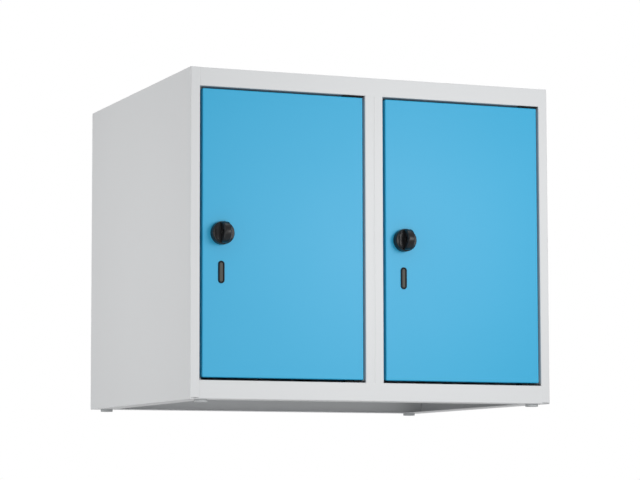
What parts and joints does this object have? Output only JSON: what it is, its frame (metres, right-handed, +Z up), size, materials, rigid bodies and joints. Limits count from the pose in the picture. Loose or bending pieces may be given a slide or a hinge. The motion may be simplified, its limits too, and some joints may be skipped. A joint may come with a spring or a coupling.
{
  "type": "locker top box",
  "caption": "Welded sheet-steel locker top box with inset doors hinged on the right, padlock turn latches with paint guards, a hollow base and low plastic glides.",
  "frame": {"origin": "middle of the whole object's footprint, knobs included, on the plane that the feet stand on", "axes": "+X to the right along the front, +Y from the doors to the back, +Z up"},
  "size_m": [0.6, 0.532, 0.504],
  "materials": {
    "body_paint": "light grey powder coat, fine satin",
    "door_paint": "light blue powder coat, fine satin",
    "lock_plastic": "black moulded plastic, semi-gloss",
    "guard_plastic": "grey soft plastic, matt",
    "bearing_plastic": "black moulded plastic, matt",
    "foot_plastic": "light grey moulded plastic, matt",
    "pin_steel": "blackened steel",
    "zinc_steel": "bright zinc plate",
    "buffer_rubber": "dark rubber, matt"
  },
  "bodies": {
    "carcass": {"side_panel_left": "body_paint", "side_panel_right": "body_paint", "partition_left": "body_paint", "partition_right": "body_paint", "top_panel": "body_paint", "floor_panel": "body_paint", "back_panel": "body_paint", "foot_front_left": "foot_plastic", "foot_front_right": "foot_plastic", "foot_rear_left": "foot_plastic", "foot_rear_right": "foot_plastic", "left_bearing_top": "bearing_plastic", "left_bearing_bottom": "bearing_plastic", "right_bearing_top": "bearing_plastic", "right_bearing_bottom": "bearing_plastic", "left_buffers": "buffer_rubber", "right_buffers": "buffer_rubber"},
    "left_door": {"left_door_skin": "door_paint", "left_door_stiffener": "door_paint", "left_hinge_pin_top": "pin_steel", "left_hinge_pin_bottom": "pin_steel", "left_guard_rim": "lock_plastic", "left_guard_pad": "guard_plastic", "left_lock_rosette": "lock_plastic", "left_lock_nut": "zinc_steel"},
    "left_latch": {"left_lock_knob": "lock_plastic", "left_lock_cam": "zinc_steel", "left_cam_screw": "zinc_steel"},
    "right_door": {"right_door_skin": "door_paint", "right_door_stiffener": "door_paint", "right_hinge_pin_top": "pin_steel", "right_hinge_pin_bottom": "pin_steel", "right_guard_rim": "lock_plastic", "right_guard_pad": "guard_plastic", "right_lock_rosette": "lock_plastic", "right_lock_nut": "zinc_steel"},
    "right_latch": {"right_lock_knob": "lock_plastic", "right_lock_cam": "zinc_steel", "right_cam_screw": "zinc_steel"}
  },
  "joints": [
    {"name": "left_door_hinge", "type": "hinge", "parent": "carcass", "child": "left_door", "pos_m": [-0.0285, -0.227, 0.254], "axis": [0, 0, 1], "range_deg": [0, 110]},
    {"name": "left_latch_turn", "type": "hinge", "parent": "left_door", "child": "left_latch", "pos_m": [-0.251, -0.234, 0.253], "axis": [0, 1, 0], "range_deg": [0, 90]},
    {"name": "right_door_hinge", "type": "hinge", "parent": "carcass", "child": "right_door", "pos_m": [0.2715, -0.227, 0.254], "axis": [0, 0, 1], "range_deg": [0, 110]},
    {"name": "right_latch_turn", "type": "hinge", "parent": "right_door", "child": "right_latch", "pos_m": [0.049, -0.234, 0.253], "axis": [0, 1, 0], "range_deg": [0, 90]}
  ]
}
